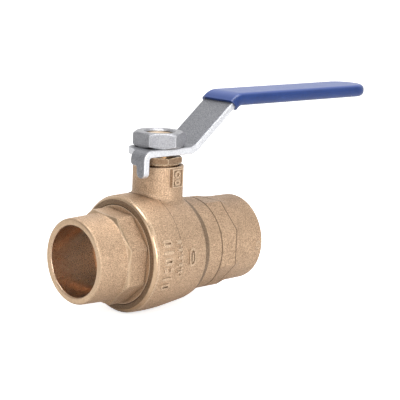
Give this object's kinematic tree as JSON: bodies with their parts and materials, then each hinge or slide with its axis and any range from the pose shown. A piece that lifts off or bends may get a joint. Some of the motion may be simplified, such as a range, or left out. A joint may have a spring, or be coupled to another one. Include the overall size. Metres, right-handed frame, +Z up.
{
  "type": "ball valve",
  "caption": "Full-port ball valve for soldered copper tube: forged body with screwed-in tail piece, tall stem neck and a bent lever with a dipped grip.",
  "frame": {"origin": "centre of the ball, on the pipe axis under the stem", "axes": "+X along the pipe towards the body's own solder cup and the lever's tip when open, +Z up the stem"},
  "size_m": [0.1656, 0.0494, 0.088],
  "materials": {
    "forged_brass": "sand-blasted satin forging with a fine grain",
    "machined_brass": "turned, bright",
    "ball_plating": "hard chrome plated, polished",
    "ptfe": "white PTFE, slightly waxy",
    "plated_steel": "zinc plated, dull grey with bright rounded edges",
    "blue_vinyl": "dipped soft vinyl, semi-gloss blue"
  },
  "bodies": {
    "housing": {"valve_body": "forged_brass", "tail_piece": "forged_brass", "seat_ring_inlet": "ptfe", "seat_ring_outlet": "ptfe", "body_seal": "ptfe", "stem_thrust_washer": "ptfe", "packing_ring_lower": "ptfe", "packing_ring_middle": "ptfe", "packing_ring_upper": "ptfe", "packing_follower": "machined_brass", "packing_nut": "machined_brass"},
    "handle": {"stem": "machined_brass", "lever": "plated_steel", "lever_grip": "blue_vinyl", "lever_nut": "plated_steel"},
    "ball": {"ball": "ball_plating"}
  },
  "joints": [
    {"name": "handle_turn", "type": "hinge", "parent": "housing", "child": "handle", "pos_m": [0, 0, 0], "axis": [0, 0, 1], "range_deg": [-90, 0]},
    {"name": "ball_turn", "type": "hinge", "parent": "housing", "child": "ball", "pos_m": [0, 0, 0], "axis": [0, 0, 1], "range_deg": [-90, 0]}
  ],
  "couplings": [
    {"joint": "ball_turn", "follows": "handle_turn", "ratio": 1}
  ]
}
